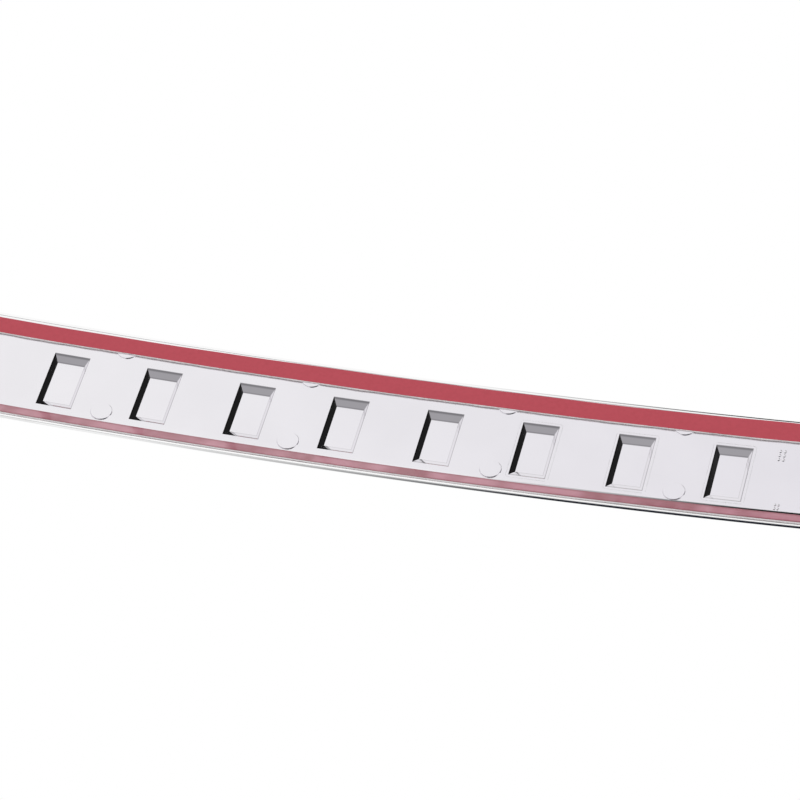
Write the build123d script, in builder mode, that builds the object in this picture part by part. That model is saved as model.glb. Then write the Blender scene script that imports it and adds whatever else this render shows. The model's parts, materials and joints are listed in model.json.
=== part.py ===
from build123d import *
import os
from math import cos, degrees, radians, sin, tan

# Stick-on third brake light: a long, slightly bowed chromed housing with a red lens in front and two
# strips of double-sided foam tape behind. Millimetres. +X runs along the lamp, +Z is up, the lens faces
# -Y and the taped back faces +Y. The origin is on the back face, mid-length, level with the LEDs.

# --- driving dimensions ---------------------------------------------------------------------------
BOW_RADIUS = 2030.0  # the back face is a cylinder of this radius, hollow towards +Y
HALF_LENGTH = 240.0  # along the bow, from the middle to one end
CELLS = 16  # one pocket, pad and LED each
PITCH = 27.5
PLATE = 2.0  # wall of the housing's upright plate
PLATE_TOP = 21.3
BEND_HEIGHT = -12.4  # where the lower flange leaves the plate
FLANGE_ANGLE = 31.0  # lean of the flange towards the back
FLANGE_LENGTH = 8.3
RIM = 1.1  # wall at the flange's and the plate's free edges
BEAD_RADIUS = 0.7  # rolled bead along both free edges
TOP_BEAD_INSET = 0.5  # from each free edge to its bead's middle
LOW_BEAD_INSET = 0.45
TOP_TAPER = 2.4  # height over which the plate thins to its rim
SECTION_FILLETS = [0.3, 0.6, 0.3, 0.3, 1.5, 1.0, 0.3]  # from the plate's back top corner, round the section
END_CORNER = 5.0  # rounding of the housing's corners at each end
CORNER_OVERRUN = 0.15  # how far a corner's circle passes the housing's end
CORNER_CUT = (8, 4)  # how far the corners' cut reaches behind the housing's back face and in front of it

POCKET_MOUTH = (10.5, 19.7)  # along the lamp, upright
POCKET_FLOOR = (7.8, 14.7)
POCKET_DEPTH = 1.4
POCKET_CORNERS = (0.35, 0.3)  # radius at the mouth and at the floor
PAD_TOP = (11.0, 17.9)
PAD_BASE = (12.6, 19.6)
PAD_CORNERS = (1.0, 1.2)  # radius at the top and at the base
EJECTOR_RADIUS = 3.0
EJECTOR_STEP = 0.18  # how far the ejector discs stand proud of the back
EJECTOR_LOW = (27.4, 79.3, 137.7, 192.4)  # distances from the middle, both ways
EJECTOR_LOW_HEIGHT = -8.7
EJECTOR_HIGH = (28.8, 79.3, 136.7, 191.4)
EJECTOR_HIGH_HEIGHT = 15.0
EJECTOR_RELIEF = 0.1  # room that the upper foam leaves round the discs
UPPER_PIPS = ((0.4, 8.2), (1.3, 1.5), (2, 3), 0.42)  # place, spacing, count both ways and radius
LOWER_PIPS = ((-1.4, -10.3), (0.9, 1.3), (2, 2), 0.32)
PIP_HEIGHT = 0.2
BOSS_GAPS = (1, 3, 5, 7)  # screw bosses stand in these gaps between cells, both ways
BOSS_RADIUS = 2.5
THREAD_RADIUS = 1.0
THREAD_DEPTH = 2.6

TAPE_WIDTH = 6.0
FOAM = 0.5
LINER = 0.1
LINER_GAP = 0.03  # keeps the liners free of the foam that they peel from
TAPE_FREE_END = 236.0
TAPE_TAB_END = 228.0  # the foam stops short here, and the liner runs on as a pull tab
UPPER_TAPE_BASE = 13.5
LOWER_TAPE_START = 1.4  # along the flange from the bend

BOARD = 1.0
BOARD_HEIGHT = 14.6
BOARD_INNER_END = 1.0
BOARD_OUTER_END = 216.0
LED_SIDE = 5.0
LED_HEIGHT = 1.6
LED_WELL = (2.05, 1.55, 0.5)  # mouth radius, floor radius and depth of the LED's round well

SHIM = 0.01  # lift of a bowed part off a flat one, and of a flat package off the bowed board
FRAME_BACK = 0.12  # gap between the board and the reflector frame
FRAME_DEPTH = 2.1
FRAME_LOW = -6.4
FRAME_HIGH = 8.4
FRAME_END = 219.5
CUP_TOP = (22.6, 12.6)
CUP_FLOOR = (6.4, 6.4)
CUP_HEIGHT = 1.0  # how far the cups' mouths sit above the LEDs' level, to centre them behind the lens
HEAD_RADIUS = 1.6
HEAD_HEIGHT = 1.1
NICHE = (5.4, 10.0, 1.25)  # hollow behind the frame over each gap, for the board's components
SCREW_FIT = 0.02  # the shank is this much under its thread's radius
SCREW_TIP = 0.3  # left free at the bottom of the thread
SCREW_HOLE = 0.2  # the board's and frame's holes are this much over the thread's radius
HEAD_TAPER = 12
SLOT = (1.9, 0.42, 0.55)  # length, width and depth of the cross in each head

LED_CORNER = 0.3
RESISTOR = (1.6, 3.2, 0.6)  # along the lamp, upright, and thickness, as for the next two
DIODE = (2.6, 4.3, 1.1)
TERMINAL = (5.0, 3.4, 1.35)
TERMINAL_HEIGHT = 5.0
JUMPER = (5.0, 8.0, 0.4)

SEAL = 0.6
LENS_LOW = -12.2
LENS_HIGH = 14.2
LENS_DEPTH = 7.0  # from the plate's front to the lens's outer face
LENS_SLOPE = 3.6  # how far the lens's long sides lean in
LENS_WALL = 1.8
LENS_FOOT = 2.2  # width of the lens's foot on the seal
LENS_END = 233.5
LENS_FILLETS = (0.3, 2.2)  # at the feet and at the face's edges, outside
HOLLOW_FILLETS = (0.1, 0.8)
HOLLOW_DRAFT = 0.3  # how much less the hollow's sides lean in, a millimetre of wall

INLET_STATION = -223.0
INLET_HEIGHT = 0.5
INLET_HOLE = 4.5
CABLE_RADIUS = 2.6
GROMMET_LIPS = ((6.2, 1.55), (5.6, 1.2))  # radius and thickness, behind the plate and in front of it
GROMMET_FIT = 0.05
VENT_STATION = -4 * PITCH
VENT_HOLE = 1.0
VENT_FILM = (4.0, 0.25)
EPS = 0.2  # how far a cut runs past the surface that it opens

# --- places along the bow -------------------------------------------------------------------------
BOW_AXIS = Axis((0, BOW_RADIUS, 0), (0, 0, 1))
PAD_FRONT = PLATE + POCKET_DEPTH
BOARD_REAR = PAD_FRONT + SHIM
BOARD_FRONT = BOARD_REAR + BOARD
FRAME_REAR = BOARD_FRONT + FRAME_BACK
FRAME_FRONT = FRAME_REAR + FRAME_DEPTH
CELL_STATIONS = [(i - (CELLS - 1) / 2) * PITCH for i in range(CELLS)]


def bow_angle(station):
    return station / BOW_RADIUS


def section_plane(station):
    """Across the lamp at a distance along the bow: x points to the back, y up."""
    a = bow_angle(station)
    origin = (BOW_RADIUS * sin(a), BOW_RADIUS * (1 - cos(a)), 0)
    return Plane(origin, x_dir=(-sin(a), cos(a), 0), z_dir=(cos(a), sin(a), 0))


def face_plane(station, depth=0.0):
    """Along the lamp at a distance along the bow: x runs along it, y up, z to the front."""
    a = bow_angle(station)
    r = BOW_RADIUS + depth
    origin = (r * sin(a), BOW_RADIUS - r * cos(a), 0)
    return Plane(origin, x_dir=(cos(a), sin(a), 0), z_dir=(sin(a), -cos(a), 0))


def swing(start, end):
    """The arc in degrees that a section is revolved through from one station to another."""
    return degrees(bow_angle(end) - bow_angle(start))


def flange_point(along, out):
    """Section coordinates of a point on the lower flange: along it, and out of its back face."""
    a = radians(FLANGE_ANGLE)
    return (along * sin(a) + out * cos(a), BEND_HEIGHT - along * cos(a) + out * sin(a))


def both_ways(distances):
    return [side * d for d in distances for side in (1, -1)]


made = []


def write(name, builder):
    """Labels a finished piece and writes it to its own STEP file."""
    builder.part.label = name
    export_step(builder.part, f"parts/{name}.step")
    made.append(name)


os.makedirs("parts", exist_ok=True)

# --- housing --------------------------------------------------------------------------------------
# The plate and its lower flange are one section swept round the bow. Pads stand on the front, one a
# cell, and are cored out from behind by drafted pockets, so that the wall stays even.
bend_out = PLATE * tan(radians(FLANGE_ANGLE / 2))
rim_top = PLATE_TOP + 0.3
rim_low = flange_point(FLANGE_LENGTH + 0.3, -RIM)[1]
with BuildPart() as housing:
    with BuildSketch(section_plane(-HALF_LENGTH)):
        with BuildLine():
            FilletPolyline(
                (0, PLATE_TOP),
                (0, BEND_HEIGHT),
                flange_point(FLANGE_LENGTH, 0),
                flange_point(FLANGE_LENGTH, -RIM),
                (-PLATE, BEND_HEIGHT - bend_out),
                (-PLATE, PLATE_TOP - TOP_TAPER),
                (-RIM, PLATE_TOP),
                radius=SECTION_FILLETS,
                close=True,
            )
        make_face()
        with Locations(flange_point(FLANGE_LENGTH - LOW_BEAD_INSET, -RIM / 2)):
            Circle(BEAD_RADIUS)
        with Locations((-RIM / 2, PLATE_TOP - TOP_BEAD_INSET)):
            Circle(BEAD_RADIUS)
    revolve(axis=BOW_AXIS, revolution_arc=swing(-HALF_LENGTH, HALF_LENGTH))
    for s in CELL_STATIONS:
        with BuildSketch(face_plane(s, PLATE - EPS)):
            RectangleRounded(*PAD_BASE, PAD_CORNERS[1])
        with BuildSketch(face_plane(s, PAD_FRONT)):
            RectangleRounded(*PAD_TOP, PAD_CORNERS[0])
        loft()
    for s in both_ways([g * PITCH for g in BOSS_GAPS]):
        with BuildSketch(face_plane(s, PLATE - EPS)):
            Circle(BOSS_RADIUS)
        extrude(amount=PAD_FRONT - PLATE + EPS)
    for s in both_ways(EJECTOR_LOW):
        with BuildSketch(face_plane(s, EPS)):
            with Locations((0, EJECTOR_LOW_HEIGHT)):
                Circle(EJECTOR_RADIUS)
        extrude(amount=-EPS - EJECTOR_STEP)
    for s in both_ways(EJECTOR_HIGH):
        with BuildSketch(face_plane(s, EPS)):
            with Locations((0, EJECTOR_HIGH_HEIGHT)):
                Circle(EJECTOR_RADIUS)
        extrude(amount=-EPS - EJECTOR_STEP)
    # Plain moulding pips at mid-length, where the mould's two halves were lined up.
    with BuildSketch(face_plane(0, EPS)):
        for place, spacing, count, radius in (UPPER_PIPS, LOWER_PIPS):
            with Locations(place):
                with GridLocations(*spacing, *count):
                    Circle(radius)
    extrude(amount=-EPS - PIP_HEIGHT)
    for s in CELL_STATIONS:
        slope = EPS / POCKET_DEPTH
        grow_x = (POCKET_MOUTH[0] - POCKET_FLOOR[0]) * slope
        grow_y = (POCKET_MOUTH[1] - POCKET_FLOOR[1]) * slope
        with BuildSketch(face_plane(s, -EPS)):
            RectangleRounded(POCKET_MOUTH[0] + grow_x, POCKET_MOUTH[1] + grow_y, POCKET_CORNERS[0])
        with BuildSketch(face_plane(s, POCKET_DEPTH)):
            RectangleRounded(*POCKET_FLOOR, POCKET_CORNERS[1])
        loft(mode=Mode.SUBTRACT)
    for s in both_ways([g * PITCH for g in BOSS_GAPS]):
        with BuildSketch(face_plane(s, PAD_FRONT)):
            Circle(THREAD_RADIUS)
        extrude(amount=-THREAD_DEPTH, mode=Mode.SUBTRACT)
    with BuildSketch(face_plane(INLET_STATION, -EPS)):
        with Locations((0, INLET_HEIGHT)):
            Circle(INLET_HOLE)
    extrude(amount=PLATE + 2 * EPS, mode=Mode.SUBTRACT)
    with BuildSketch(face_plane(VENT_STATION, -EPS)):
        Circle(VENT_HOLE)
    extrude(amount=PLATE + 2 * EPS, mode=Mode.SUBTRACT)
    # Each end's corners are rounded by taking away what lies outside a circle that just overruns the edges.
    for side in (1, -1):
        for edge, up in ((rim_top, 1), (rim_low, -1)):
            with BuildSketch(face_plane(side * HALF_LENGTH, -CORNER_CUT[0])):
                with Locations((side * (1 - END_CORNER / 2), edge + up * (1 - END_CORNER / 2))):
                    Rectangle(END_CORNER + 2, END_CORNER + 2)
                with Locations((-side * (END_CORNER - CORNER_OVERRUN), edge - up * END_CORNER)):
                    Circle(END_CORNER, mode=Mode.SUBTRACT)
            extrude(amount=sum(CORNER_CUT), mode=Mode.SUBTRACT)
write("chrome_housing", housing)

# --- tapes and their liners -----------------------------------------------------------------------


def upper_corners(base, thickness):
    """Section of a strip on the plate, from its near face outwards."""
    top = UPPER_TAPE_BASE + TAPE_WIDTH
    far = base + thickness
    return [(base, UPPER_TAPE_BASE), (base, top), (far, top), (far, UPPER_TAPE_BASE)]


def lower_corners(base, thickness):
    """Section of a strip on the lower flange."""
    end = LOWER_TAPE_START + TAPE_WIDTH
    far = base + thickness
    corners = [(LOWER_TAPE_START, base), (end, base), (end, far), (LOWER_TAPE_START, far)]
    return [flange_point(*corner) for corner in corners]


def strip(corners, start, end):
    """A strip of one section, swept round the bow."""
    with BuildPart() as swept:
        with BuildSketch(section_plane(start)):
            with BuildLine():
                Polyline(*corners, close=True)
            make_face()
        revolve(axis=BOW_AXIS, revolution_arc=swing(start, end))
    return swept


with BuildPart() as upper_foam:
    add(strip(upper_corners(0, FOAM), -TAPE_TAB_END, TAPE_FREE_END).part)
    for s in both_ways(EJECTOR_HIGH):
        with BuildSketch(face_plane(s, EPS)):
            with Locations((0, EJECTOR_HIGH_HEIGHT)):
                Circle(EJECTOR_RADIUS + EJECTOR_RELIEF)
        extrude(amount=-EPS - EJECTOR_STEP - SHIM, mode=Mode.SUBTRACT)
write("upper_foam_tape", upper_foam)
write("lower_foam_tape", strip(lower_corners(0, FOAM), -TAPE_TAB_END, TAPE_FREE_END))

liner_base = FOAM + LINER_GAP
write("upper_liner", strip(upper_corners(liner_base, LINER), -TAPE_FREE_END, TAPE_FREE_END))
write("lower_liner", strip(lower_corners(liner_base, LINER), -TAPE_FREE_END, TAPE_FREE_END))

# --- LED boards and what is soldered to them ------------------------------------------------------


def board(start, end, side):
    """One board, drilled for the screws on its side of the middle."""
    with BuildPart() as made_board:
        with BuildSketch(section_plane(start)):
            with Locations((-BOARD_REAR, 0)):
                Rectangle(BOARD, BOARD_HEIGHT, align=(Align.MAX, Align.CENTER))
        revolve(axis=BOW_AXIS, revolution_arc=swing(start, end))
        for gap in BOSS_GAPS:
            with BuildSketch(face_plane(side * gap * PITCH, PAD_FRONT - EPS)):
                Circle(THREAD_RADIUS + SCREW_HOLE)
            extrude(amount=BOARD + 2 * EPS, mode=Mode.SUBTRACT)
    return made_board


write("led_board_left", board(BOARD_INNER_END, BOARD_OUTER_END, 1))
write("led_board_right", board(-BOARD_OUTER_END, -BOARD_INNER_END, -1))

for number, s in enumerate(CELL_STATIONS, 1):
    with BuildPart() as led:
        with BuildSketch(face_plane(s, BOARD_FRONT + SHIM)):
            RectangleRounded(LED_SIDE, LED_SIDE, LED_CORNER)
        extrude(amount=LED_HEIGHT)
        with BuildSketch(face_plane(s, BOARD_FRONT + SHIM + LED_HEIGHT)):
            Circle(LED_WELL[0])
        with BuildSketch(face_plane(s, BOARD_FRONT + SHIM + LED_HEIGHT - LED_WELL[2])):
            Circle(LED_WELL[1])
        loft(mode=Mode.SUBTRACT)
    write(f"led_{number:02d}", led)


def chip(station, height, size, depth):
    """A flat package centred at a station and height, with its near face at a depth."""
    with BuildPart() as package:
        with BuildSketch(face_plane(station, depth)):
            with Locations((0, height)):
                Rectangle(size[0], size[1])
        extrude(amount=size[2])
    return package


for number, gap in enumerate((-6, -2, 2, 6), 1):
    resistor = chip(gap * PITCH, 0, RESISTOR, BOARD_FRONT + SHIM)
    write(f"resistor_{number}", resistor)
write("input_diode", chip(-4 * PITCH, 0, DIODE, BOARD_FRONT + SHIM))
write("lead_terminal", chip(-7 * PITCH, TERMINAL_HEIGHT, TERMINAL, PAD_FRONT - TERMINAL[2] - SHIM))

with BuildPart() as jumper:
    with BuildSketch(section_plane(-JUMPER[0] / 2)):
        with Locations((-BOARD_FRONT, 0)):
            Rectangle(JUMPER[2], JUMPER[1], align=(Align.MAX, Align.CENTER))
    revolve(axis=BOW_AXIS, revolution_arc=swing(-JUMPER[0] / 2, JUMPER[0] / 2))
write("board_jumper", jumper)

# --- reflector frame, with one shallow cup a cell -------------------------------------------------
with BuildPart() as frame:
    with BuildSketch(section_plane(-FRAME_END)):
        with Locations((-FRAME_REAR, FRAME_LOW)):
            Rectangle(FRAME_DEPTH, FRAME_HIGH - FRAME_LOW, align=(Align.MAX, Align.MIN))
    revolve(axis=BOW_AXIS, revolution_arc=swing(-FRAME_END, FRAME_END))
    for s in CELL_STATIONS:
        with BuildSketch(face_plane(s, FRAME_REAR - EPS)):
            RectangleRounded(*CUP_FLOOR, 1.0)
        with BuildSketch(face_plane(s, FRAME_FRONT + EPS)):
            with Locations((0, CUP_HEIGHT)):
                RectangleRounded(*CUP_TOP, 2.0)
        loft(mode=Mode.SUBTRACT)
    for gap in range(-7, 8):
        with BuildSketch(face_plane(gap * PITCH, FRAME_REAR - EPS)):
            if abs(gap) in BOSS_GAPS:
                Circle(THREAD_RADIUS + SCREW_HOLE)
            else:
                Rectangle(NICHE[0], NICHE[1])
        deep = FRAME_DEPTH + 2 * EPS if abs(gap) in BOSS_GAPS else NICHE[2] + EPS
        extrude(amount=deep, mode=Mode.SUBTRACT)
    for s in both_ways([g * PITCH for g in BOSS_GAPS]):
        with BuildSketch(face_plane(s, FRAME_FRONT + EPS)):
            Circle(HEAD_RADIUS + SCREW_HOLE)
        extrude(amount=-EPS - HEAD_HEIGHT, mode=Mode.SUBTRACT)
write("reflector_frame", frame)

# --- screws: through the frame and board into the housing's bosses --------------------------------
with BuildPart() as screws:
    for s in both_ways([g * PITCH for g in BOSS_GAPS]):
        with BuildSketch(face_plane(s, PAD_FRONT - THREAD_DEPTH + SCREW_TIP)):
            Circle(THREAD_RADIUS - SCREW_FIT)
        extrude(amount=FRAME_FRONT - HEAD_HEIGHT - PAD_FRONT + THREAD_DEPTH)
        with BuildSketch(face_plane(s, FRAME_FRONT - HEAD_HEIGHT + SHIM)):
            Circle(HEAD_RADIUS)
        extrude(amount=HEAD_HEIGHT, taper=HEAD_TAPER)
        with BuildSketch(face_plane(s, FRAME_FRONT)):
            Rectangle(SLOT[0], SLOT[1])
            Rectangle(SLOT[1], SLOT[0])
        extrude(amount=SLOT[2], both=True, mode=Mode.SUBTRACT)
write("board_screws", screws)

# --- lens and seal --------------------------------------------------------------------------------


def lens_outline(inset, depth):
    """Section of the lens's outside, or of its hollow when inset by the wall."""
    foot = PLATE + SEAL if inset == 0 else PLATE + SEAL - EPS
    low = LENS_LOW + (LENS_FOOT if inset else 0)
    high = LENS_HIGH - (LENS_FOOT if inset else 0)
    lean = LENS_SLOPE - HOLLOW_DRAFT * inset
    return [(-foot, low), (-depth, low + lean), (-depth, high - lean), (-foot, high)]


lens_face = PLATE + LENS_DEPTH
with BuildPart() as lens:
    with BuildSketch(section_plane(-LENS_END)):
        with BuildLine():
            foot, edge = LENS_FILLETS
            FilletPolyline(*lens_outline(0, lens_face), radius=[foot, edge, edge, foot], close=True)
        make_face()
    revolve(axis=BOW_AXIS, revolution_arc=swing(-LENS_END, LENS_END))
    hollow_end = LENS_END - LENS_WALL
    with BuildSketch(section_plane(-hollow_end)):
        with BuildLine():
            inside = lens_outline(LENS_WALL, lens_face - LENS_WALL)
            foot, edge = HOLLOW_FILLETS
            FilletPolyline(*inside, radius=[foot, edge, edge, foot], close=True)
        make_face()
    revolve(axis=BOW_AXIS, revolution_arc=swing(-hollow_end, hollow_end), mode=Mode.SUBTRACT)
write("red_lens", lens)

with BuildPart() as seal:
    with BuildSketch(section_plane(-LENS_END)):
        with Locations((-PLATE, LENS_LOW)):
            Rectangle(SEAL, LENS_HIGH - LENS_LOW, align=(Align.MAX, Align.MIN))
    revolve(axis=BOW_AXIS, revolution_arc=swing(-LENS_END, LENS_END))
    with BuildSketch(section_plane(-hollow_end)):
        with Locations((-PLATE + EPS, LENS_LOW + LENS_FOOT)):
            inner = LENS_HIGH - LENS_LOW - 2 * LENS_FOOT
            Rectangle(SEAL + 2 * EPS, inner, align=(Align.MAX, Align.MIN))
    revolve(axis=BOW_AXIS, revolution_arc=swing(-hollow_end, hollow_end), mode=Mode.SUBTRACT)
write("lens_seal", seal)

# --- cable grommet and vent -----------------------------------------------------------------------
with BuildPart() as grommet:
    back_lip, front_lip = GROMMET_LIPS
    back_end = -back_lip[1] - GROMMET_FIT
    front_end = PLATE + GROMMET_FIT + front_lip[1]
    for depth, radius, amount in (
        (back_end, back_lip[0], back_lip[1]),
        (-2 * GROMMET_FIT, INLET_HOLE - GROMMET_FIT, PLATE + 4 * GROMMET_FIT),
        (PLATE + GROMMET_FIT, *front_lip),
    ):
        with BuildSketch(face_plane(INLET_STATION, depth)):
            with Locations((0, INLET_HEIGHT)):
                Circle(radius)
        extrude(amount=amount)
    with BuildSketch(face_plane(INLET_STATION, back_end - EPS)):
        with Locations((0, INLET_HEIGHT)):
            Circle(CABLE_RADIUS)
    extrude(amount=front_end - back_end + 2 * EPS, mode=Mode.SUBTRACT)
write("cable_grommet", grommet)

with BuildPart() as vent:
    with BuildSketch(face_plane(VENT_STATION, -VENT_FILM[1] - SHIM)):
        Circle(VENT_FILM[0])
    extrude(amount=VENT_FILM[1])
write("vent_membrane", vent)

print(len(made), "pieces")
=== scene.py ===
import json
import math

import bmesh
import bpy
from mathutils import Matrix, Vector


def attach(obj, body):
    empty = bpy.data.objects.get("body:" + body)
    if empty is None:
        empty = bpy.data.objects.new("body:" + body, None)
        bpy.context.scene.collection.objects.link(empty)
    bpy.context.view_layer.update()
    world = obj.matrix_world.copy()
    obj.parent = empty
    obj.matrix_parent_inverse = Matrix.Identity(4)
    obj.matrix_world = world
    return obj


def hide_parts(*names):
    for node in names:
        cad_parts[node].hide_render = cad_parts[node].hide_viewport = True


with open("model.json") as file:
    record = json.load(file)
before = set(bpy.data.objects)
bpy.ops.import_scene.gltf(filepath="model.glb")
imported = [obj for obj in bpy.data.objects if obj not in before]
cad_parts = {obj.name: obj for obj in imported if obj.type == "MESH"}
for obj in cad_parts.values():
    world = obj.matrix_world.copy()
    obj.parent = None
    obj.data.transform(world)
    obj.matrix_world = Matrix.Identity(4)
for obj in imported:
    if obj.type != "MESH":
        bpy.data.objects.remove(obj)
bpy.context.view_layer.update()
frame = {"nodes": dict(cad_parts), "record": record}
scene = bpy.context.scene

# --- the design's own sizes, in millimetres: along the bow (s), out of the back face (n) and up (u) -------
MM = 0.001
BOW_RADIUS = 2030.0
HALF_LENGTH = 240.0
PITCH = 27.5
CELL_COUNT = 16
CELLS = [(i - (CELL_COUNT - 1) / 2) * PITCH for i in range(CELL_COUNT)]
BOSS_GAPS = (1, 3, 5, 7)  # the bosses' places each side of the middle, in pitches
BOSS_RADIUS = 2.5
PLATE = 2.0
PLATE_TOP = 21.3
BEND = -12.4  # where the flange leaves the plate's back
HEEL = -12.955  # where it leaves the plate's front
FLANGE_ANGLE = 31.0
FLANGE_LENGTH = 8.3
RIM = 1.1
BEAD = 0.7
END_CORNER = 5.0
POCKET_MOUTH = (10.5, 19.7)
POCKET_FLOOR = (7.8, 14.7)
POCKET_DEPTH = 1.4
PAD_BASE = (12.6, 19.6)
PAD_TOP = (11.0, 17.9)
EJECTOR_RADIUS = 3.0
EJECTOR_STEP = 0.25
EJECTOR_LOW = ((27.4, 79.3, 137.7, 192.4), -8.7)  # distances from the middle, and the height
EJECTOR_HIGH = ((28.8, 79.3, 136.7, 191.4), 15.0)
INLET = (-223.0, 0.5, 4.5)  # s, u and radius
VENT = (-110.0, 0.0, 1.0)
TAPE_END = 236.0
TAB_END = 228.0  # the foam stops short at one end, and leaves the liner a tab to pull
FOAM = 0.5
LINER_BASE = 0.53
LINER = 0.1


def bow(s, n, u):
    """The point in metres at a distance along the bow, out of the back face and up."""
    a = s / BOW_RADIUS
    r = BOW_RADIUS - n
    return Vector((r * math.sin(a), BOW_RADIUS - r * math.cos(a), u)) * MM


def flange(along, out):
    """(n, u) of a point along the lower flange from the bend, and out of its back face."""
    c, s = math.cos(math.radians(FLANGE_ANGLE)), math.sin(math.radians(FLANGE_ANGLE))
    return (along * s + out * c, BEND - along * c + out * s)


def arc(centre, radius, start, end, count):
    """Points (n, u) round a centre, from one angle in degrees to another: 0 is to the back, 90 is up."""
    angles = [math.radians(start + (end - start) * i / count) for i in range(count + 1)]
    return [(centre[0] + radius * math.cos(a), centre[1] + radius * math.sin(a)) for a in angles]


def wander(s, seed, scale=40.0):
    """A smooth value between -1 and 1 that drifts along the lamp, the same each run."""
    x = s / scale + seed * 17.3
    return (math.sin(x) + math.sin(2.3 * x + 1.7 * seed) + math.sin(4.9 * x + 0.6)) / 3


# --- materials ------------------------------------------------------------------------------------


def new_material(name, **sockets):
    """A Principled material with plain values set on the shader's own sockets."""
    mat = bpy.data.materials.new(name)
    mat.use_nodes = True
    shader = mat.node_tree.nodes["Principled BSDF"]
    for key, value in sockets.items():
        shader.inputs[key.replace("_", " ")].default_value = value
    return mat, mat.node_tree, shader


def noise(tree, scale, detail=3.0, stretch=(1.0, 1.0, 1.0)):
    """Noise in object coordinates, optionally stretched along an axis."""
    place = tree.nodes.new("ShaderNodeTexCoord")
    mapping = tree.nodes.new("ShaderNodeMapping")
    mapping.inputs["Scale"].default_value = stretch
    texture = tree.nodes.new("ShaderNodeTexNoise")
    texture.inputs["Scale"].default_value = scale
    texture.inputs["Detail"].default_value = detail
    tree.links.new(place.outputs["Object"], mapping.inputs["Vector"])
    tree.links.new(mapping.outputs["Vector"], texture.inputs["Vector"])
    return texture.outputs["Fac"]


def ramp(tree, source, low, high, start=0.35, end=0.65):
    """Maps a factor between two colours."""
    node = tree.nodes.new("ShaderNodeValToRGB")
    node.color_ramp.elements[0].position = start
    node.color_ramp.elements[1].position = end
    node.color_ramp.elements[0].color = (*low, 1)
    node.color_ramp.elements[1].color = (*high, 1)
    tree.links.new(source, node.inputs["Fac"])
    return node.outputs["Color"]


def bump(tree, shader, height, strength, distance):
    """Bumps the shader's normal by a height, over a distance in metres."""
    node = tree.nodes.new("ShaderNodeBump")
    node.inputs["Strength"].default_value = strength
    node.inputs["Distance"].default_value = distance
    tree.links.new(height, node.inputs["Height"])
    tree.links.new(node.outputs["Normal"], shader.inputs["Normal"])


def product(tree, first, second):
    """Multiplies two factors."""
    node = tree.nodes.new("ShaderNodeMath")
    node.operation = "MULTIPLY"
    tree.links.new(first, node.inputs[0])
    tree.links.new(second, node.inputs[1])
    return node.outputs["Value"]


def mix(tree, factor, first, second):
    """Fades from one colour to another, which may be a plain one, as the factor goes from 0 to 1."""
    node = tree.nodes.new("ShaderNodeMix")
    node.data_type = "RGBA"
    tree.links.new(factor, node.inputs["Factor"])
    tree.links.new(first, node.inputs["A"])
    if isinstance(second, tuple):
        node.inputs["B"].default_value = (*second, 1)
    else:
        tree.links.new(second, node.inputs["B"])
    return node.outputs["Result"]


def depth_behind_bow(tree, shallow, deep):
    """0 at one depth in millimetres behind the back face and 1 at another, measured from the bow's axis."""
    place = tree.nodes.new("ShaderNodeTexCoord")
    flat = tree.nodes.new("ShaderNodeVectorMath")
    flat.operation = "MULTIPLY"
    flat.inputs[1].default_value = (1, 1, 0)
    tree.links.new(place.outputs["Object"], flat.inputs[0])
    gap = tree.nodes.new("ShaderNodeVectorMath")
    gap.operation = "DISTANCE"
    gap.inputs[1].default_value = (0, BOW_RADIUS * MM, 0)
    tree.links.new(flat.outputs["Vector"], gap.inputs[0])
    span = tree.nodes.new("ShaderNodeMapRange")
    span.inputs["From Min"].default_value = (BOW_RADIUS + shallow) * MM
    span.inputs["From Max"].default_value = (BOW_RADIUS + deep) * MM
    tree.links.new(gap.outputs["Value"], span.inputs["Value"])
    return span.outputs["Result"]


def between(tree, start, full, fade, end):
    """1 from the full depth to the fade, and 0 before the start and past the end: see depth_behind_bow."""
    return product(tree, depth_behind_bow(tree, start, full), depth_behind_bow(tree, end, fade))


def above(tree, low, high):
    """0 below one height in millimetres and 1 above another."""
    place = tree.nodes.new("ShaderNodeTexCoord")
    split = tree.nodes.new("ShaderNodeSeparateXYZ")
    tree.links.new(place.outputs["Object"], split.inputs["Vector"])
    span = tree.nodes.new("ShaderNodeMapRange")
    span.inputs["From Min"].default_value = low * MM
    span.inputs["From Max"].default_value = high * MM
    tree.links.new(split.outputs["Z"], span.inputs["Value"])
    return span.outputs["Result"]


def grey(value):
    """A neutral colour."""
    return (value, value, value)


def darker(colour, share):
    """A share of a colour."""
    return tuple(share * channel for channel in colour)


# Where the chrome's painted light and shade go, in millimetres: depths behind the back face, then heights.
# painted shade just inside each pocket's mouth
POCKET_LIP_PAINTED_SHADE = (0.04, 0.10, 0.20, 0.42)
# painted shade where the pocket walls meet their floors
POCKET_FOOT_PAINTED_SHADE = (1.14, 1.24, 1.32, 1.385)
# depths over which the pocket floors turn to their lighter tint, which is painted light
FLOOR_DEPTHS = (1.1, 1.35)
# heights above which the top rim, and below which the lower bead, are coloured near-white as a painted
# highlight
UPPER_RIM_PAINTED_HIGHLIGHT = (19.4, 19.9)
LOWER_RIM_PAINTED_HIGHLIGHT = (-18.6, -19.0)


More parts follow.
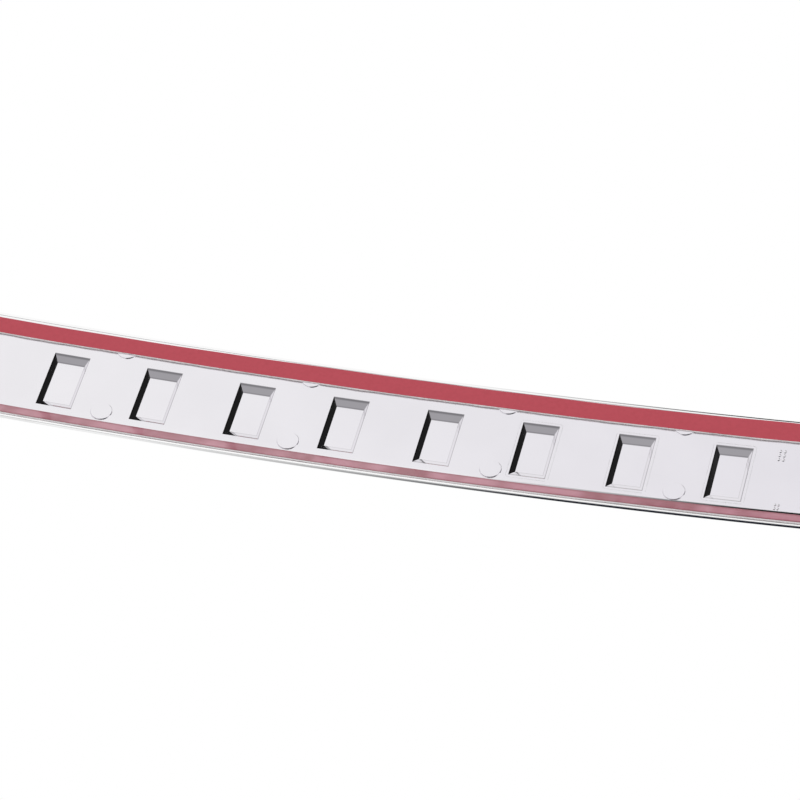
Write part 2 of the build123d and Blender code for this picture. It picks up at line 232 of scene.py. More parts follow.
def chrome(name, tint, floor_painted_light_tint, rough_low, rough_high, wave):
    """Chrome plate on moulded plastic: a mirror with faint haze and the mould's slight waviness. Painted
    shade darkens its colour at the pocket lips and feet, painted light brightens the pocket floors a touch,
    and a painted highlight makes the rims near-white.
    """
    mat, tree, shader = new_material(name, Metallic=1.0)
    cloud = noise(tree, 60.0, detail=4.0)
    face = ramp(tree, cloud, darker(tint, 0.975), tint)
    # painted light: the pocket floors are tinted a touch lighter than the face
    floor_painted_light = ramp(tree, cloud, darker(floor_painted_light_tint, 0.98), floor_painted_light_tint)
    colour = mix(tree, depth_behind_bow(tree, *FLOOR_DEPTHS), face, floor_painted_light)
    # painted shade: the chrome is coloured darker just inside each pocket's mouth
    lip = ramp(tree, cloud, darker(tint, 0.52), darker(tint, 0.58))
    colour = mix(tree, between(tree, *POCKET_LIP_PAINTED_SHADE), colour, lip)
    # painted shade: the chrome is coloured darker where the pocket walls meet their floors
    foot = ramp(tree, cloud, darker(tint, 0.76), darker(tint, 0.80))
    colour = mix(tree, between(tree, *POCKET_FOOT_PAINTED_SHADE), colour, foot)
    # painted highlight: the top rim and the lower bead are coloured near-white
    rim_painted_highlight = ramp(tree, cloud, grey(0.95), grey(0.97))
    colour = mix(tree, above(tree, *UPPER_RIM_PAINTED_HIGHLIGHT), colour, rim_painted_highlight)
    colour = mix(tree, above(tree, *LOWER_RIM_PAINTED_HIGHLIGHT), colour, rim_painted_highlight)
    tree.links.new(colour, shader.inputs["Base Color"])
    haze = ramp(tree, noise(tree, 140.0, detail=6.0), grey(rough_low), grey(rough_high), start=0.3, end=0.75)
    tree.links.new(haze, shader.inputs["Roughness"])
    bump(tree, shader, noise(tree, 45.0, detail=2.0), strength=wave, distance=0.0002)
    return mat


# heights between which the lower liner's paler painted sheen goes
PAINTED_SHEEN_LOW = (-18.5, -17.3)
PAINTED_SHEEN_HIGH = (-13.4, -14.8)


def film(name, colour, shade, rough, coat, painted_sheen=None):
    """Release liner: a smooth dyed film, with patches of a paler painted sheen along the lower liner's
    middle.
    """
    mat, tree, shader = new_material(name, Roughness=rough, IOR=1.5, Coat_Weight=coat, Coat_Roughness=0.12)
    mottle = ramp(tree, noise(tree, 900.0, detail=3.0), shade, colour, start=0.3, end=0.6)
    if painted_sheen:
        # painted sheen: paler patches along the middle of the lower liner
        middle = product(tree, above(tree, *PAINTED_SHEEN_LOW), above(tree, *PAINTED_SHEEN_HIGH))
        drift = noise(tree, 90.0, detail=2.0, stretch=(1.0, 0.3, 0.3))
        patches = ramp(tree, drift, grey(0.1), grey(1.0), start=0.38, end=0.62)
        mottle = mix(tree, product(tree, middle, patches), mottle, painted_sheen)
    tree.links.new(mottle, shader.inputs["Base Color"])
    ripple = noise(tree, 160.0, detail=2.5, stretch=(0.35, 1.0, 1.0))
    bump(tree, shader, ripple, strength=0.35, distance=0.0003)
    return mat


def foam(name):
    """Closed-cell acrylic foam, seen on its cut edge."""
    mat, tree, shader = new_material(name, Roughness=0.75)
    cells = noise(tree, 2500.0, detail=4.0)
    colour = ramp(tree, cells, (0.84, 0.80, 0.81), (0.95, 0.92, 0.93))
    tree.links.new(colour, shader.inputs["Base Color"])
    bump(tree, shader, cells, strength=0.15, distance=0.0001)
    return mat


def plastic(name, low, high, scale, rough, strength=0.15):
    """Plain moulded plastic or rubber with a fine grain."""
    mat, tree, shader = new_material(name, Roughness=rough)
    grain = noise(tree, scale, detail=5.0)
    tree.links.new(ramp(tree, grain, low, high), shader.inputs["Base Color"])
    bump(tree, shader, grain, strength, distance=0.00005)
    return mat


def metal(name, low, high, scale, rough):
    """Bare metal, slightly uneven in colour."""
    mat, tree, shader = new_material(name, Metallic=1.0, Roughness=rough)
    tree.links.new(ramp(tree, noise(tree, scale), low, high), shader.inputs["Base Color"])
    return mat


def lens_red(name):
    """Clear red moulded lens."""
    mat, tree, shader = new_material(name, Roughness=0.02, IOR=1.49, Transmission_Weight=1.0)
    tint = ramp(tree, noise(tree, 30.0, detail=2.0), (0.86, 0.030, 0.036), (0.92, 0.045, 0.05))
    tree.links.new(tint, shader.inputs["Base Color"])
    return mat


CHROME_TINT = (0.845, 0.83, 0.86)
# a touch lighter than CHROME_TINT: painted light on the pocket floors
CHROME_FLOOR_PAINTED_LIGHT = (0.85, 0.835, 0.865)
REFLECTOR_TINT = (0.88, 0.88, 0.90)
MATERIALS = {
    "chrome_plate": chrome(
        "chrome_plate", CHROME_TINT, CHROME_FLOOR_PAINTED_LIGHT, rough_low=0.012, rough_high=0.06, wave=0.05
    ),
    "reflector_plate": chrome(
        "reflector_plate", REFLECTOR_TINT, REFLECTOR_TINT, rough_low=0.02, rough_high=0.08, wave=0.05
    ),
    "red_liner": film("red_liner", (0.505, 0.042, 0.070), (0.475, 0.037, 0.062), rough=0.42, coat=0.0),
    # the lower liner is the same film as the upper one: its darker colour is painted shade
    "glossy_liner": film(
        "glossy_liner", (0.30, 0.040, 0.065), (0.26, 0.033, 0.055), rough=0.34, coat=0.40,
        # painted sheen: a paler colour in patches along the lower liner's middle
        painted_sheen=(0.52, 0.19, 0.25),
    ),
    "tape_foam": foam("tape_foam"),
    # the adhesive layer is coloured dark as a painted contact shadow along each tape's foot
    "adhesive_painted_shadow": plastic("adhesive_painted_shadow", (0.05, 0.035, 0.035), (0.11, 0.08, 0.08), scale=1500.0, rough=0.5),
    "black_rubber": plastic("black_rubber", grey(0.012), grey(0.03), scale=700.0, rough=0.6, strength=0.4),
    "board": plastic("board", (0.70, 0.72, 0.70), (0.80, 0.81, 0.79), scale=300.0, rough=0.45),
    "led_body": plastic("led_body", (0.85, 0.84, 0.80), (0.92, 0.91, 0.87), scale=500.0, rough=0.4),
    "phosphor": plastic("phosphor", (0.72, 0.55, 0.12), (0.85, 0.68, 0.20), scale=2500.0, rough=0.25),
    "component_black": plastic("component_black", grey(0.015), grey(0.035), scale=900.0, rough=0.5),
    "terminal_white": plastic(
        "terminal_white", (0.75, 0.74, 0.70), (0.85, 0.84, 0.80), scale=400.0, rough=0.5
    ),
    "vent_film": plastic(
        "vent_film", (0.60, 0.61, 0.63), (0.72, 0.73, 0.75), scale=1500.0, rough=0.7, strength=0.5
    ),
    "screw_steel": metal("screw_steel", (0.42, 0.42, 0.43), (0.58, 0.58, 0.60), scale=800.0, rough=0.3),
    "copper": metal("copper", (0.60, 0.30, 0.16), (0.78, 0.45, 0.28), scale=500.0, rough=0.35),
    "red_lens": lens_red("red_lens"),
}

slots = {row["node"]: row["material_slot"] for row in frame["record"]["subparts"]}
for node, piece in frame["nodes"].items():
    piece.data.materials.clear()
    piece.data.materials.append(MATERIALS[slots[node]])


# --- mesh helpers -----------------------------------------------------------------------------------
WELD = 1e-6  # metres
DRILL_MARGIN = 1.0
DRILL_SIDES = 48


def add_piece(name, vertices, faces, material, body="lamp", replaces=(), smooth=30.0, cuts=()):
    """A closed mesh that rides on a body, smooth except where it turns more than the given angle."""
    mesh = bpy.data.meshes.new(name)
    mesh.from_pydata(vertices, [], faces)
    if cuts:
        cut_through(mesh, cuts)
    shape = bmesh.new()
    shape.from_mesh(mesh)
    bmesh.ops.remove_doubles(shape, verts=shape.verts, dist=WELD)
    bmesh.ops.recalc_face_normals(shape, faces=shape.faces)
    shape.to_mesh(mesh)
    shape.free()
    mesh.materials.clear()
    mesh.materials.append(MATERIALS[material])
    mesh.shade_smooth()
    mesh.set_sharp_from_angle(angle=math.radians(smooth))
    piece = bpy.data.objects.new(name, mesh)
    scene.collection.objects.link(piece)
    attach(piece, body)
    if replaces:
        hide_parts(*replaces)
    return piece


def cut_through(mesh, cuts):
    """Cuts round holes through the plate: each cut is (s, u, radius)."""
    vertices, faces = [], []
    for s, u, radius in cuts:
        disc(vertices, faces, s, u, radius, -PLATE - DRILL_MARGIN, DRILL_MARGIN, DRILL_SIDES)
    drill_mesh = bpy.data.meshes.new("drill")
    drill_mesh.from_pydata(vertices, [], faces)
    shape = bmesh.new()
    shape.from_mesh(drill_mesh)
    bmesh.ops.recalc_face_normals(shape, faces=shape.faces)
    shape.to_mesh(drill_mesh)
    shape.clear()
    shape.from_mesh(mesh)
    bmesh.ops.recalc_face_normals(shape, faces=shape.faces)
    shape.to_mesh(mesh)
    shape.free()
    drill = bpy.data.objects.new("drill", drill_mesh)
    blank = bpy.data.objects.new("blank", mesh)
    for item in (drill, blank):
        scene.collection.objects.link(item)
    cut = blank.modifiers.new("cut", "BOOLEAN")
    cut.object = drill
    cut.operation = "DIFFERENCE"
    bpy.context.view_layer.update()
    done = bpy.data.meshes.new_from_object(blank.evaluated_get(bpy.context.evaluated_depsgraph_get()))
    shape = bmesh.new()
    shape.from_mesh(done)
    shape.to_mesh(mesh)
    shape.free()
    for item in (drill, blank):
        bpy.data.objects.remove(item)


def disc(vertices, faces, s, u, radius, low, high, count=40, crown=0.0):
    """Adds a round boss from n = low to n = high, with its far edge rounded over by the crown."""
    side = 1 if high > low else -1
    rings = [(radius, low), (radius, high - side * crown)]
    if crown:
        for a in (30, 60, 90):
            turn = math.radians(a)
            rings.append((radius - crown * (1 - math.cos(turn)), high - side * crown * (1 - math.sin(turn))))
    base = len(vertices)
    for r, n in rings:
        for i in range(count):
            a = 2 * math.pi * i / count
            vertices.append(bow(s + r * math.cos(a), n, u + r * math.sin(a)))
    for k in range(len(rings) - 1):
        for i in range(count):
            j = (i + 1) % count
            a, b = base + k * count, base + (k + 1) * count
            faces.append((a + i, a + j, b + j, b + i))
    faces.append([base + i for i in range(count)])
    faces.append([base + (len(rings) - 1) * count + i for i in range(count)])


def bevel(piece, width, segments, angle):
    """Softens the edges that turn more than an angle in degrees, by a width in millimetres."""
    edge = piece.modifiers.new("edges", "BEVEL")
    edge.width = width * MM
    edge.segments = segments
    edge.limit_method = "ANGLE"
    edge.angle_limit = math.radians(angle)
    edge.harden_normals = True


# --- housing ------------------------------------------------------------------------------------------
# The section's points and rows, in order from the bend: see housing_section.
BACK_POINTS = 5
BEAD_FLAT_STEPS = 5
BEAD_ROUND_STEPS = 9
CHAMFER_POINTS = 3
BACK_ROW = 1  # the section's edge that the pockets open through
BEAD_POINTS = BEAD_FLAT_STEPS + 1 + BEAD_ROUND_STEPS + 1
FRONT_ROW = BACK_POINTS + BEAD_POINTS + CHAMFER_POINTS  # the section's edge that the pads stand on

# The section's shape, in millimetres and degrees.
BEND_EASE = 0.6
BACK_REST = 12.2  # a point on the back under the upper tape
BEAD_NECK = 1.2  # from the upper bead's centre down to where the flat back starts
BEAD_SINK = 0.5  # from the plate's top down to that centre
BEAD_FLAT = (-38.0, 8.0)  # the bead's side to the back
BEAD_FLAT_DROP = 0.2
BEAD_ROUND = (12.0, 115.0)  # its crest and its front
BEAD_ROUND_SHIFT = (0.1, 0.13)
BEAD_ROUND_RADIUS = BEAD - 0.15
CHAMFER = ((-1.2, 0.3), (-1.95, 2.3), (-PLATE, 2.7))  # n, and the drop from the plate's top
HEEL_EASE = 0.4
HEEL_POINT = (-1.93, 0.12)  # n, and the drop from the heel
LOW_BEAD_SINK = 0.45
LOW_BEAD = (-115.0, 38.0)  # from the flange's own direction out of its back
LOW_BEAD_STEPS = 14
LOW_NECK_FRONT = (2.0, 0.2)  # back from the flange's end, and out of the rim
LOW_NECK_BACK = 1.7
FLANGE_FOOT = ((1.0, 0.0), (0.3, 0.03))

# Where the sections stand: back from each end, and between a pad and the next cell.
END_STATIONS = (0.0, 0.05, 0.3, 0.8, 1.5, 2.4, 3.6, 5.0, 12.0, 20.0)
GAP_STATION = 10.2
RIM_SLACK = 0.002
EDGE_WIDTH = 0.12
EDGE_TURN = 26.0


def corner_drop(s):
    """How far both long edges fall back near each end, which rounds the housing's corners."""
    left = HALF_LENGTH - abs(s)
    if left >= END_CORNER:
        return 0.0
    return END_CORNER - math.sqrt(max(0.0, END_CORNER**2 - (END_CORNER - left) ** 2))


def housing_section(s):
    """The closed section, up the back, over the upper bead, down the front and round the lower bead."""
    drop = corner_drop(s)
    n, top = -RIM / 2, PLATE_TOP - BEAD_SINK - drop
    half_mouth = POCKET_MOUTH[1] / 2
    back = [(0.0, u) for u in (BEND + BEND_EASE, -half_mouth, half_mouth, BACK_REST, top - BEAD_NECK)]
    over = arc((n, top - BEAD_FLAT_DROP), BEAD, *BEAD_FLAT, BEAD_FLAT_STEPS)
    centre = (n + BEAD_ROUND_SHIFT[0], top + BEAD_ROUND_SHIFT[1])
    over += arc(centre, BEAD_ROUND_RADIUS, *BEAD_ROUND, BEAD_ROUND_STEPS)
    front = [(out, PLATE_TOP - fall - drop) for out, fall in CHAMFER]
    front += [(-PLATE, PAD_BASE[1] / 2), (-PLATE, -PAD_BASE[1] / 2), (-PLATE, HEEL + HEEL_EASE)]
    front += [(HEEL_POINT[0], HEEL - HEEL_POINT[1])]
    front += [flange(FLANGE_LENGTH - LOW_NECK_FRONT[0] - drop, -RIM - LOW_NECK_FRONT[1])]
    low_bead = flange(FLANGE_LENGTH - LOW_BEAD_SINK - drop, -RIM / 2)
    start, end = (FLANGE_ANGLE + turn for turn in LOW_BEAD)
    under = arc(low_bead, BEAD, start, end, LOW_BEAD_STEPS)
    toe = [flange(FLANGE_LENGTH - LOW_NECK_BACK - drop, 0.0)]
    toe += [flange(along, out) for along, out in FLANGE_FOOT]
    return back + over + front + under + toe


def make_housing():
    """The plate and flange, with a drafted pocket behind and a pad in front at each cell."""
    half_mouth, half_pad = POCKET_MOUTH[0] / 2, PAD_BASE[0] / 2
    stations = {HALF_LENGTH - d for d in END_STATIONS}
    for cell in CELLS:
        for d in (half_mouth, half_pad, GAP_STATION, PITCH / 2):
            stations |= {abs(cell + d), abs(cell - d)}
    stations = sorted({round(side * s, 3) for s in stations for side in (1, -1)})
    sections = [housing_section(s) for s in stations]
    ring = len(sections[0])
    vertices = [bow(s, n, u) for s, section in zip(stations, sections) for n, u in section]
    faces = [list(range(ring)), [(len(stations) - 1) * ring + k for k in range(ring)]]
    for i in range(len(stations) - 1):
        middle = (stations[i] + stations[i + 1]) / 2
        off = min(abs(middle - cell) for cell in CELLS)
        for k in range(ring):
            if (k == BACK_ROW and off < half_mouth) or (k == FRONT_ROW and off < half_pad):
                continue
            m = (k + 1) % ring
            faces.append((i * ring + k, i * ring + m, (i + 1) * ring + m, (i + 1) * ring + k))
    for cell in CELLS:
        for row, mouth, ground, depth in (
            (BACK_ROW, POCKET_MOUTH, POCKET_FLOOR, -POCKET_DEPTH),
            (FRONT_ROW, PAD_BASE, PAD_TOP, -PLATE - POCKET_DEPTH),
        ):
            inside = [i for i, s in enumerate(stations) if abs(s - cell) <= mouth[0] / 2 + RIM_SLACK]
            rim = [(i, row) for i in inside] + [(i, row + 1) for i in reversed(inside)]
            base = len(vertices)
            for i, k in rim:
                shrink = ground[0] / mouth[0]
                u = math.copysign(ground[1] / 2, sections[i][k][1])
                vertices.append(bow(cell + (stations[i] - cell) * shrink, depth, u))
            for j in range(len(rim)):
                m = (j + 1) % len(rim)
                a, b = rim[j], rim[m]
                faces.append((a[0] * ring + a[1], b[0] * ring + b[1], base + m, base + j))
            faces.append([base + j for j in range(len(rim))])
    piece = add_piece(
        "housing_shell", vertices, faces, "chrome_plate", replaces=["chrome_housing"],
        smooth=25.0, cuts=[INLET, VENT],
    )
    bevel(piece, EDGE_WIDTH, segments=2, angle=EDGE_TURN)


MARK_ROOT = 0.3
DISC_SIDES = 56
DISC_CROWN = 0.015
BOSS_ROOT = 1.8
BOSS_SIDES = 32
PIP_ROOT = 0.1
PIP_HEIGHT = 0.26
PIP_SIDES = 20
PIP_GROUPS = (  # s, u, columns, rows, their two steps, and the radius
    (0.4, 8.2, 2, 3, 1.3, 1.5, 0.5),
    (-1.4, -10.3, 2, 2, 0.95, 1.3, 0.4),
)


def make_marks():
    """Ejector discs and moulding pips behind, screw bosses in front."""
    vertices, faces = [], []
    for side in (1, -1):
        for distances, height in (EJECTOR_LOW, EJECTOR_HIGH):
            for d in distances:
                disc(vertices, faces, side * d, height, EJECTOR_RADIUS, -MARK_ROOT, EJECTOR_STEP, DISC_SIDES,
                     crown=DISC_CROWN)
        for gap in BOSS_GAPS:
            disc(vertices, faces, side * gap * PITCH, 0.0, BOSS_RADIUS, -BOSS_ROOT, -PLATE - POCKET_DEPTH,
                 BOSS_SIDES)
    for s, u, columns, rows, ds, du, r in PIP_GROUPS:
        for i in range(columns):
            for j in range(rows):
                along, up = s + (i - (columns - 1) / 2) * ds, u + (j - (rows - 1) / 2) * du
                disc(vertices, faces, along, up, r, -PIP_ROOT, PIP_HEIGHT, PIP_SIDES, crown=PIP_HEIGHT)
    add_piece("housing_marks", vertices, faces, "chrome_plate", smooth=12.0)


RIDGE_REACH = 0.11
RIDGE_ROOT = 0.05
RIDGE_SHOULDER = 0.045
SHOULDER_SHARE = 0.6


def ridge(vertices, faces, s, u, path, height):
    """Adds a soft closed ridge on the back. path gives each point's centre, radius and direction."""
    shoulder = SHOULDER_SHARE * height
    profile = (
        (-RIDGE_REACH, -RIDGE_ROOT), (-RIDGE_SHOULDER, shoulder), (0.0, height),
        (RIDGE_SHOULDER, shoulder), (RIDGE_REACH, -RIDGE_ROOT),
    )
    base, ring = len(vertices), len(profile)
    for centre, radius, away in path:
        for step, n in profile:
            r = radius + step
            vertices.append(bow(s + centre[0] + r * away[0], n, u + centre[1] + r * away[1]))
    for i in range(len(path)):
        j = (i + 1) % len(path)
        for k in range(ring):
            m = (k + 1) % ring
            faces.append((base + ring * i + k, base + ring * j + k, base + ring * j + m, base + ring * i + m))


OUTLINE_GAP = 0.75
OUTLINE_CORNER = 1.0
OUTLINE_REACH = 70.0
OUTLINE_HEIGHT = 0.035
DISC_RIDGE_GAP = 0.08
DISC_RIDGE_HEIGHT = 0.10
CORNER_STEPS = 6


def make_outlines():
    """The faint ridges round the middle pockets, left by the pads in front, and round the ejector discs."""
    vertices, faces = [], []
    half = [side / 2 + OUTLINE_GAP - OUTLINE_CORNER for side in POCKET_MOUTH]
    around = []
    for quarter, (x, y) in enumerate(((1, 1), (-1, 1), (-1, -1), (1, -1))):
        for away in arc((0, 0), 1.0, 90 * quarter, 90 * quarter + 90, CORNER_STEPS):
            around.append(((x * half[0], y * half[1]), OUTLINE_CORNER, away))
    for cell in [c for c in CELLS if abs(c) < OUTLINE_REACH]:
        ridge(vertices, faces, cell, 0.0, around, OUTLINE_HEIGHT)
    radius = EJECTOR_RADIUS + DISC_RIDGE_GAP
    circle = [((0.0, 0.0), radius, away) for away in arc((0, 0), 1.0, 0, 360, DISC_SIDES)[:-1]]
    for side in (1, -1):
        for distances, height in (EJECTOR_LOW, EJECTOR_HIGH):
            for d in distances:
                ridge(vertices, faces, side * d, height, circle, DISC_RIDGE_HEIGHT)
    add_piece("moulding_ridges", vertices, faces, "chrome_plate", smooth=80.0)


make_housing()
make_marks()
make_outlines()

# --- tapes and liners -----------------------------------------------------------------------------------
LANES = 7  # points across a strip
STRIP_STEP = 1.2


def on_plate(across, out):
    """(n, u) of a point on the plate's back, as flange gives it for the flange."""
    return (out, across)


def strip(name, looks, ends, edges, levels, place, body, replaces=(), lift=0.0):
    """A thin strip between two edges that follow s, from one level above the surface to another.

    lift is how far its edges stand above the middle of its width, more at some places than at others.
    """
    start, end = ends
    count = int((end - start) / STRIP_STEP)
    vertices, faces = [], []
    for i in range(count + 1):
        s = start + (end - start) * i / count
        low, high = edges(s)
        for level in levels:
            for j in range(LANES):
                t = j / (LANES - 1)
                dip = lift * math.sin(math.pi * t) * (0.7 + 0.3 * wander(s, 9, scale=16.0))
                vertices.append(bow(s, *place(low + (high - low) * t, level - dip)))
    ring = 2 * LANES
    loop = list(range(LANES)) + list(range(ring - 1, LANES - 1, -1))
    for i in range(count):
        for k in range(ring):
            a, b = loop[k], loop[(k + 1) % ring]
            faces.append((i * ring + a, i * ring + b, (i + 1) * ring + b, (i + 1) * ring + a))
    faces.append(loop)
    faces.append([count * ring + k for k in loop])
    return add_piece(name, vertices, faces, looks, body, replaces)


UPPER_TAPE = (13.52, 19.6)  # heights of its two edges
UPPER_FALL = 0.65
FALL_START = 120.0
FALL_RUN = 90.0
UPPER_CLIMB = 0.4
CLIMB_RUN = 45.0
LOWER_TAPE = 1.5  # from the bend, down the flange
LOWER_WIDTH = 5.8
LOWER_LIMIT = 7.38


def upper_edges(s):
    """The upper tape was laid by hand: it drifts, climbs at the middle and falls away towards one end."""
    fall = UPPER_FALL * min(1.0, max(0.0, (s - FALL_START) / FALL_RUN))
    climb = UPPER_CLIMB * max(0.0, 1.0 - abs(s) / CLIMB_RUN)
    low = UPPER_TAPE[0] + 0.14 * wander(s, 1)
    return low, UPPER_TAPE[1] + climb - fall + 0.1 * wander(s, 2, scale=25.0)


def upper_foam_edges(s):
    """The foam shows a little below its liner, more at some places than at others."""
    low, high = upper_edges(s)
    return low - 0.16 - 0.12 * wander(s, 3, scale=7.0), high - 0.1


def lower_edges(s):
    """The lower tape's edges, in millimetres from the bend."""
    low = LOWER_TAPE + 0.12 * wander(s, 4)
    return low, min(LOWER_LIMIT, low + LOWER_WIDTH + 0.1 * wander(s, 5, scale=25.0))


def lower_foam_edges(s):
    """The lower foam stays just inside its liner."""
    low, high = lower_edges(s)
    return low + 0.06, high - 0.02 + 0.05 * wander(s, 6, scale=7.0)


def inset(edges, amount):
    """The same edges moved in by an amount, or out where it is negative."""
    return lambda s: (edges(s)[0] + amount, edges(s)[1] - amount)


FOAM_ENDS = (-TAB_END, TAPE_END)
LINER_ENDS = (-TAPE_END, TAPE_END)
GLUE = 0.06
strip("upper_foam", "tape_foam", FOAM_ENDS, upper_foam_edges, (GLUE, FOAM), on_plate, "lamp",
      ["upper_foam_tape"])
strip("lower_foam", "tape_foam", FOAM_ENDS, lower_foam_edges, (GLUE, FOAM), flange, "lamp",
      ["lower_foam_tape"])
# adhesive layers under the foams, coloured dark as a painted contact shadow along each tape's edge
strip("upper_adhesive_painted_shadow", "adhesive_painted_shadow", FOAM_ENDS, inset(upper_foam_edges, -0.04), (0.0, GLUE),
      on_plate, "lamp")
strip("lower_adhesive_painted_shadow", "adhesive_painted_shadow", FOAM_ENDS, inset(lower_foam_edges, -0.02), (0.0, GLUE),
      flange, "lamp")
LINER_LEVELS = (LINER_BASE, LINER_BASE + LINER)
strip("upper_liner_film", "red_liner", LINER_ENDS, upper_edges, LINER_LEVELS, on_plate,
      "upper_liner_body", ["upper_liner"], lift=0.015)
strip("lower_liner_film", "glossy_liner", LINER_ENDS, lower_edges, LINER_LEVELS, flange,
      "lower_liner_body", ["lower_liner"], lift=0.02)

# --- lens and the LEDs' phosphor ----------------------------------------------------------------------------
LENS_END = 233.5
LENS_WALL = 1.8
LENS_FOOT = -2.62
LENS_FACE = 8.94
LENS_OUTSIDE = (-12.2, 14.2)  # heights of the foot's two edges
LENS_INSIDE = (-10.0, 12.0)
OUTER_LEAN, OUTER_CORNER = 3.6, 2.0
INNER_LEAN, INNER_CORNER = 3.06, 0.8
LENS_CORNER_STEPS = 7
FLUTE = 2.75
FLUTE_DEPTH = 0.26
FLUTE_STEPS = 6
PHOSPHOR_RADIUS = 1.6
PHOSPHOR_LEVELS = (-5.6, -5.72)
PHOSPHOR_SIDES = 32


def lens_section(low, high, face, lean, radius):
    """(n, u) from the lower foot round the face to the upper foot, with rounded corners."""
    slope = math.degrees(math.atan2(face + LENS_FOOT, lean))
    back_off = radius / math.tan(math.radians((180 - slope) / 2))
    lower = arc((-face + radius, low + lean + back_off), radius, 180 + slope, 180.0, LENS_CORNER_STEPS)
    upper = arc((-face + radius, high - lean - back_off), radius, 180.0, 180 - slope, LENS_CORNER_STEPS)
    return [(LENS_FOOT, low)] + lower + upper + [(LENS_FOOT, high)]


def make_lens():
    """A tray, smooth outside, with upright flutes moulded inside its face."""
    outer = lens_section(*LENS_OUTSIDE, LENS_FACE, OUTER_LEAN, OUTER_CORNER)
    inner = lens_section(*LENS_INSIDE, LENS_FACE - LENS_WALL, INNER_LEAN, INNER_CORNER)
    ring = len(outer)
    side = LENS_CORNER_STEPS + 1  # points of the section before its face
    hollow = LENS_END - LENS_WALL
    step = FLUTE / FLUTE_STEPS
    reach = int(hollow / step)
    inside = [-hollow] + [i * step for i in range(-reach, reach + 1)] + [hollow]
    stations = [-LENS_END] + inside + [LENS_END]
    vertices, faces = [], []
    for s in stations:
        vertices.extend(bow(s, n, u) for n, u in outer)
    start = len(vertices)
    for s in inside:
        for k, (n, u) in enumerate(inner):
            on_face = side <= k < ring - side
            vertices.append(bow(s, n + FLUTE_DEPTH * abs(math.sin(math.pi * s / FLUTE)) * on_face, u))
    for base, count in ((0, len(stations)), (start, len(inside))):
        for i in range(count - 1):
            a, b = base + i * ring, base + (i + 1) * ring
            for k in range(ring - 1):
                faces.append((a + k, a + k + 1, b + k + 1, b + k))
        faces.append([base + k for k in range(ring)])
        faces.append([base + (count - 1) * ring + k for k in range(ring)])
    for i in range(len(inside) - 1):
        for k in (0, ring - 1):
            a, b = (i + 1) * ring + k, start + i * ring + k
            faces.append((a, a + ring, b + ring, b))
    last = len(stations) - 1
    for end, near, lip in ((0, 1, start), (last, last - 1, start + (len(inside) - 1) * ring)):
        first = (end * ring, near * ring, lip)
        faces.append(first + tuple(k + ring - 1 for k in reversed(first)))
    add_piece("lens_tray", vertices, faces, "red_lens", replaces=["red_lens"], smooth=32.0)


def make_phosphor():
    """The yellow silicone in each LED's round well."""
    vertices, faces = [], []
    for cell in CELLS:
        disc(vertices, faces, cell, 0.0, PHOSPHOR_RADIUS, *PHOSPHOR_LEVELS, PHOSPHOR_SIDES)
    add_piece("led_phosphor", vertices, faces, "phosphor")


make_lens()
make_phosphor()

# --- studio ---------------------------------------------------------------------------------------------
scene.view_settings.view_transform = "Standard"
world = bpy.data.worlds.new("studio")
world.use_nodes = True
world.node_tree.nodes["Background"].inputs["Color"].default_value = (1, 1, 1, 1)
world.node_tree.nodes["Background"].inputs["Strength"].default_value = 1.0
scene.world = world


STEEP = 0.95


def card(name, place, towards, size, value, other=None, fade=(0.0, 1.0)):
    """A glowing card that only reflections see, facing a direction: its colour fades to the other at +X.

    place and size are in metres, and fade says between which shares of its width the colour changes.
    """
    facing = Vector(towards).normalized()
    steep = abs(facing.z) > STEEP
    side = Vector((1, 0, 0)) if steep else Vector((-facing.y, facing.x, 0)).normalized()
    side = -side if side.x < 0 else side
    rise = facing.cross(side)
    mesh = bpy.data.meshes.new(name)
    corners = ((-1, -1), (1, -1), (1, 1), (-1, 1))
    points = [Vector(place) + side * x * size[0] / 2 + rise * y * size[1] / 2 for x, y in corners]
    mesh.from_pydata(points, [], [(0, 1, 2, 3)])
    piece = bpy.data.objects.new(name, mesh)
    scene.collection.objects.link(piece)
    mat = bpy.data.materials.new(name)
    mat.use_nodes = True
    tree = mat.node_tree
    tree.nodes.clear()
    glow = tree.nodes.new("ShaderNodeEmission")
    glow.inputs["Color"].default_value = (*value, 1)
    if other:
        spread = tree.nodes.new("ShaderNodeTexCoord")
        split = tree.nodes.new("ShaderNodeSeparateXYZ")
        tree.links.new(spread.outputs["Generated"], split.inputs["Vector"])
        tree.links.new(ramp(tree, split.outputs["X"], value, other, *fade), glow.inputs["Color"])
    out = tree.nodes.new("ShaderNodeOutputMaterial")
    tree.links.new(glow.outputs["Emission"], out.inputs["Surface"])
    mesh.materials.append(mat)
    piece.visible_camera = False
    piece.visible_shadow = False
    piece.visible_diffuse = False


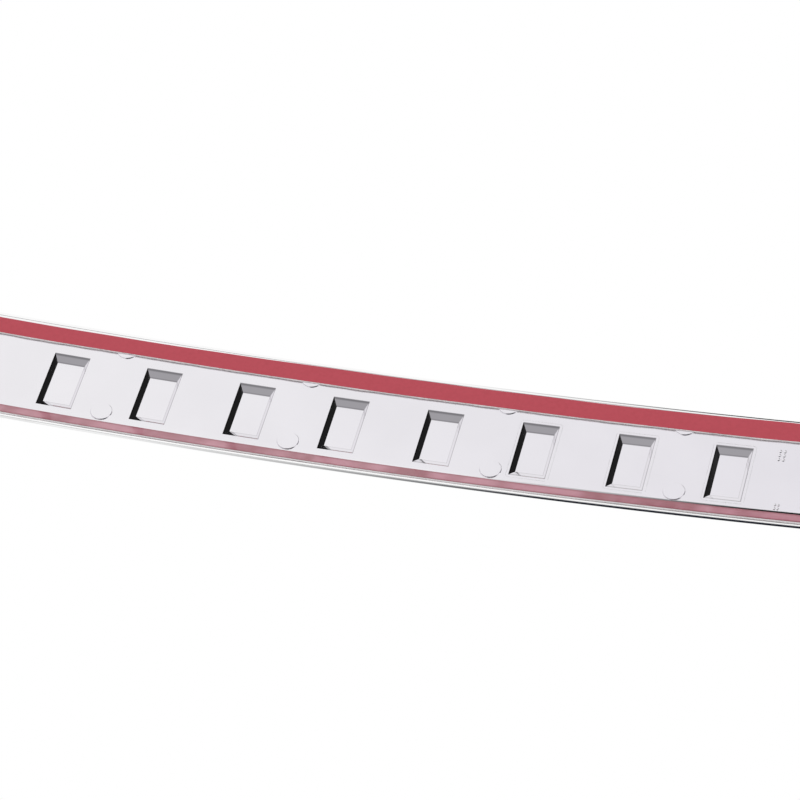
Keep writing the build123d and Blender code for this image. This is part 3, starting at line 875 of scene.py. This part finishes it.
# What the chrome mirrors: dark flags that its walls and beads pick up, and pale cards that tint it.
card("flag_side", (-1.47, 0.60, 1.08), (0.77, -0.30, -0.55), (1.5, 1.3), grey(0.03))
card("grey_low", (0.4, 1.88, -0.64), (-0.16, -0.94, 0.31), (2.4, 0.5), (0.41, 0.405, 0.42))
card("tint_high", (0.9, 2.95, 2.5), (-0.2, -0.75, -0.63), (1.2, 1.5), (0.90, 0.89, 0.92), grey(1.0),
     (0.25, 0.5))
card("flag_over", (-0.45, 0.51, 1.0), (0, 0, -1), (1.5, 0.60), grey(0.015), grey(1.0), (0.93, 1.0))
card("flag_under", (-0.35, 0.2, -0.4), (0, 0, 1), (1.3, 1.0), (0.02, 0.022, 0.03), grey(1.0), (0.88, 1.0))
card("flag_back", (0.45, 1.9, -1.6), (-0.1, -0.75, 0.65), (3.0, 0.55), grey(0.03))

FLOOR_HALF = 12.0  # metres, as is its level
FLOOR_LEVEL = -1.05
floor_mesh = bpy.data.meshes.new("floor")
corners = [(x * FLOOR_HALF, y * FLOOR_HALF, FLOOR_LEVEL) for x, y in ((-1, -1), (1, -1), (1, 1), (-1, 1))]
floor_mesh.from_pydata(corners, [], [(0, 1, 2, 3)])
floor = bpy.data.objects.new("floor", floor_mesh)
scene.collection.objects.link(floor)
floor_paint = plastic("floor_paint", grey(0.82), grey(0.83), scale=0.5, rough=1.0, strength=0.0)
floor_mesh.materials.append(floor_paint)

# --- camera ---------------------------------------------------------------------------------------------
CAMERA_PLACE = (-0.18414, 0.87154, -0.73898)  # metres
CAMERA_RIGHT = Vector((-0.963807, -0.121458, 0.237327))
CAMERA_UP = Vector((0.096959, 0.669547, 0.736414))
CAMERA_LENS = 188.9
camera_data = bpy.data.cameras.new("camera")
camera_data.lens = CAMERA_LENS
camera_data.sensor_width = 36.0
camera_data.clip_start = 0.05
camera_data.clip_end = 60.0
camera = bpy.data.objects.new("camera", camera_data)
scene.collection.objects.link(camera)
camera_back = CAMERA_RIGHT.cross(CAMERA_UP)
camera_turn = Matrix((CAMERA_RIGHT, CAMERA_UP, camera_back)).transposed()
camera.matrix_world = Matrix.Translation(CAMERA_PLACE) @ camera_turn.to_4x4()
scene.camera = camera
